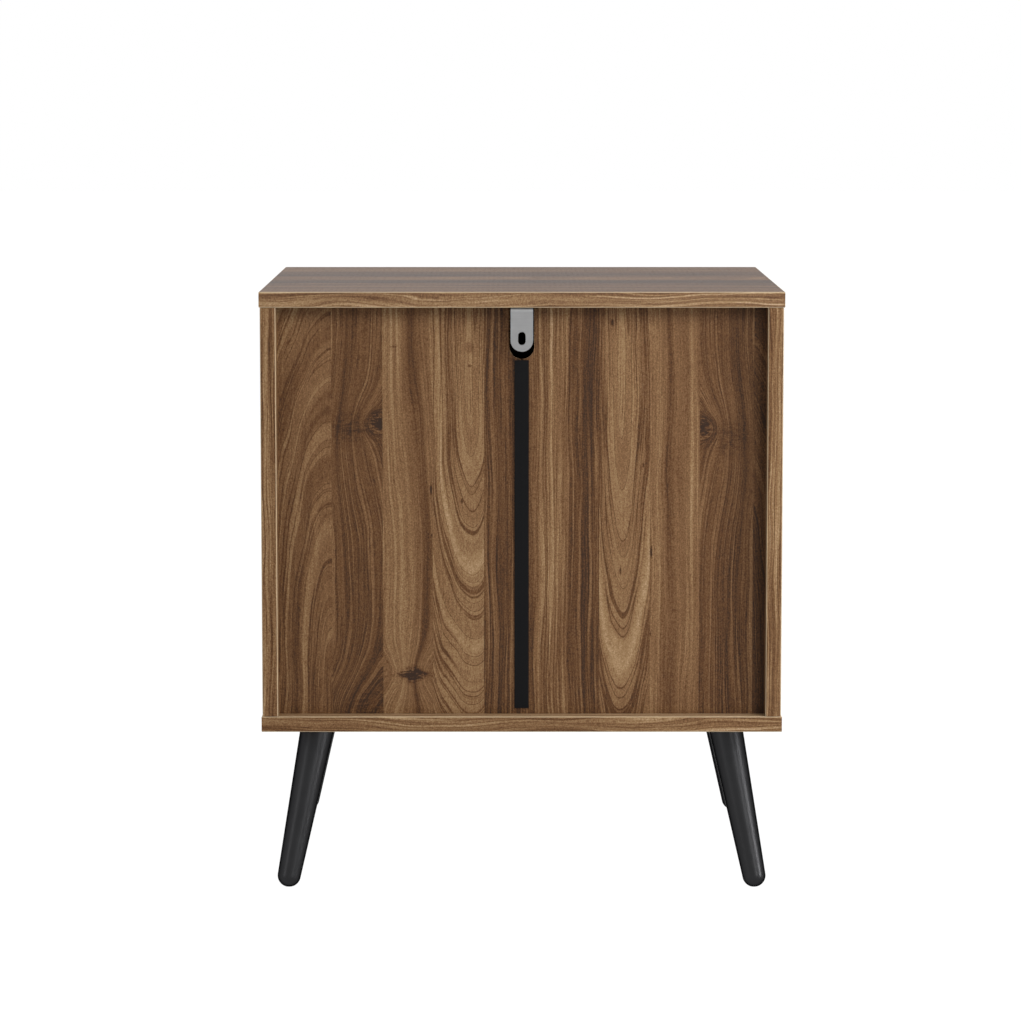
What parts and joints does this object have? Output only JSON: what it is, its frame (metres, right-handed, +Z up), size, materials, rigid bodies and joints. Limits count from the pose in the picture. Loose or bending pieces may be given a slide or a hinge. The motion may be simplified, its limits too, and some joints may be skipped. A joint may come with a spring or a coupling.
{
  "type": "nightstand",
  "caption": "Walnut-board bedside cabinet with inset drawers on ball-bearing slides, splayed round legs, a recessed split back and a wall bracket.",
  "frame": {"origin": "bottom centre of the bounding box, on the floor", "axes": "+Z up, +Y towards the back and the wall, drawers open towards -Y, +X to the right seen from the front"},
  "size_m": [0.5, 0.4732, 0.581],
  "materials": {
    "walnut_board": "satin walnut-faced board with banded edges",
    "black_wood": "satin black paint on turned wood",
    "black_plastic": "matt black extrusion",
    "bracket_steel": "zinc-plated steel strip",
    "slide_steel": "zinc-plated rolled steel",
    "fastener_steel": "zinc-plated steel",
    "knob_black": "satin black paint"
  },
  "bodies": {
    "cabinet": {"top_panel": "walnut_board", "bottom_panel": "walnut_board", "side_panel_left": "walnut_board", "side_panel_right": "walnut_board", "back_panel_left": "walnut_board", "back_panel_right": "walnut_board", "back_joining_strip": "black_plastic", "wall_bracket": "bracket_steel", "wall_bracket_screw_rear": "fastener_steel", "wall_bracket_screw_front": "fastener_steel", "leg_front_left": "black_wood", "leg_front_right": "black_wood", "leg_rear_left": "black_wood", "leg_rear_right": "black_wood", "leg_bolt_front_left": "fastener_steel", "leg_bolt_front_right": "fastener_steel", "leg_bolt_rear_left": "fastener_steel", "leg_bolt_rear_right": "fastener_steel", "leg_insert_front_left": "fastener_steel", "leg_insert_front_right": "fastener_steel", "leg_insert_rear_left": "fastener_steel", "leg_insert_rear_right": "fastener_steel", "lower_drawer_left_slide_cabinet_member": "slide_steel", "lower_drawer_right_slide_cabinet_member": "slide_steel", "upper_drawer_left_slide_cabinet_member": "slide_steel", "upper_drawer_right_slide_cabinet_member": "slide_steel"},
    "lower_drawer": {"lower_drawer_front": "walnut_board", "lower_drawer_side_left": "walnut_board", "lower_drawer_side_right": "walnut_board", "lower_drawer_back": "walnut_board", "lower_drawer_bottom": "walnut_board", "lower_drawer_knob": "knob_black", "lower_drawer_knob_screw": "fastener_steel", "lower_drawer_left_slide_drawer_member": "slide_steel", "lower_drawer_right_slide_drawer_member": "slide_steel"},
    "upper_drawer": {"upper_drawer_front": "walnut_board", "upper_drawer_side_left": "walnut_board", "upper_drawer_side_right": "walnut_board", "upper_drawer_back": "walnut_board", "upper_drawer_bottom": "walnut_board", "upper_drawer_knob": "knob_black", "upper_drawer_knob_screw": "fastener_steel", "upper_drawer_left_slide_drawer_member": "slide_steel", "upper_drawer_right_slide_drawer_member": "slide_steel"},
    "lower_left_middle_member": {"lower_drawer_left_slide_middle_member": "slide_steel"},
    "lower_right_middle_member": {"lower_drawer_right_slide_middle_member": "slide_steel"},
    "upper_left_middle_member": {"upper_drawer_left_slide_middle_member": "slide_steel"},
    "upper_right_middle_member": {"upper_drawer_right_slide_middle_member": "slide_steel"},
    "lower_left_outer_cage": {"lower_drawer_left_slide_outer_ball_cage": "slide_steel"},
    "lower_right_outer_cage": {"lower_drawer_right_slide_outer_ball_cage": "slide_steel"},
    "upper_left_outer_cage": {"upper_drawer_left_slide_outer_ball_cage": "slide_steel"},
    "upper_right_outer_cage": {"upper_drawer_right_slide_outer_ball_cage": "slide_steel"},
    "lower_left_inner_cage": {"lower_drawer_left_slide_inner_ball_cage": "slide_steel"},
    "lower_right_inner_cage": {"lower_drawer_right_slide_inner_ball_cage": "slide_steel"},
    "upper_left_inner_cage": {"upper_drawer_left_slide_inner_ball_cage": "slide_steel"},
    "upper_right_inner_cage": {"upper_drawer_right_slide_inner_ball_cage": "slide_steel"}
  },
  "joints": [
    {"name": "lower_drawer_slide", "type": "slide", "parent": "cabinet", "child": "lower_drawer", "axis": [0, -1, 0], "range_m": [0, 0.4]},
    {"name": "upper_drawer_slide", "type": "slide", "parent": "cabinet", "child": "upper_drawer", "axis": [0, -1, 0], "range_m": [0, 0.4]},
    {"name": "lower_left_middle_slide", "type": "slide", "parent": "cabinet", "child": "lower_left_middle_member", "axis": [0, -1, 0], "range_m": [0, 0.2]},
    {"name": "lower_right_middle_slide", "type": "slide", "parent": "cabinet", "child": "lower_right_middle_member", "axis": [0, -1, 0], "range_m": [0, 0.2]},
    {"name": "upper_left_middle_slide", "type": "slide", "parent": "cabinet", "child": "upper_left_middle_member", "axis": [0, -1, 0], "range_m": [0, 0.2]},
    {"name": "upper_right_middle_slide", "type": "slide", "parent": "cabinet", "child": "upper_right_middle_member", "axis": [0, -1, 0], "range_m": [0, 0.2]},
    {"name": "lower_left_outer_cage_slide", "type": "slide", "parent": "cabinet", "child": "lower_left_outer_cage", "axis": [0, -1, 0], "range_m": [0, 0.1]},
    {"name": "lower_right_outer_cage_slide", "type": "slide", "parent": "cabinet", "child": "lower_right_outer_cage", "axis": [0, -1, 0], "range_m": [0, 0.1]},
    {"name": "upper_left_outer_cage_slide", "type": "slide", "parent": "cabinet", "child": "upper_left_outer_cage", "axis": [0, -1, 0], "range_m": [0, 0.1]},
    {"name": "upper_right_outer_cage_slide", "type": "slide", "parent": "cabinet", "child": "upper_right_outer_cage", "axis": [0, -1, 0], "range_m": [0, 0.1]},
    {"name": "lower_left_inner_cage_slide", "type": "slide", "parent": "cabinet", "child": "lower_left_inner_cage", "axis": [0, -1, 0], "range_m": [0, 0.3]},
    {"name": "lower_right_inner_cage_slide", "type": "slide", "parent": "cabinet", "child": "lower_right_inner_cage", "axis": [0, -1, 0], "range_m": [0, 0.3]},
    {"name": "upper_left_inner_cage_slide", "type": "slide", "parent": "cabinet", "child": "upper_left_inner_cage", "axis": [0, -1, 0], "range_m": [0, 0.3]},
    {"name": "upper_right_inner_cage_slide", "type": "slide", "parent": "cabinet", "child": "upper_right_inner_cage", "axis": [0, -1, 0], "range_m": [0, 0.3]}
  ],
  "couplings": [
    {"joint": "lower_left_middle_slide", "follows": "lower_drawer_slide", "ratio": 0.5},
    {"joint": "lower_right_middle_slide", "follows": "lower_drawer_slide", "ratio": 0.5},
    {"joint": "upper_left_middle_slide", "follows": "upper_drawer_slide", "ratio": 0.5},
    {"joint": "upper_right_middle_slide", "follows": "upper_drawer_slide", "ratio": 0.5},
    {"joint": "lower_left_outer_cage_slide", "follows": "lower_drawer_slide", "ratio": 0.25},
    {"joint": "lower_right_outer_cage_slide", "follows": "lower_drawer_slide", "ratio": 0.25},
    {"joint": "upper_left_outer_cage_slide", "follows": "upper_drawer_slide", "ratio": 0.25},
    {"joint": "upper_right_outer_cage_slide", "follows": "upper_drawer_slide", "ratio": 0.25},
    {"joint": "lower_left_inner_cage_slide", "follows": "lower_drawer_slide", "ratio": 0.75},
    {"joint": "lower_right_inner_cage_slide", "follows": "lower_drawer_slide", "ratio": 0.75},
    {"joint": "upper_left_inner_cage_slide", "follows": "upper_drawer_slide", "ratio": 0.75},
    {"joint": "upper_right_inner_cage_slide", "follows": "upper_drawer_slide", "ratio": 0.75}
  ]
}
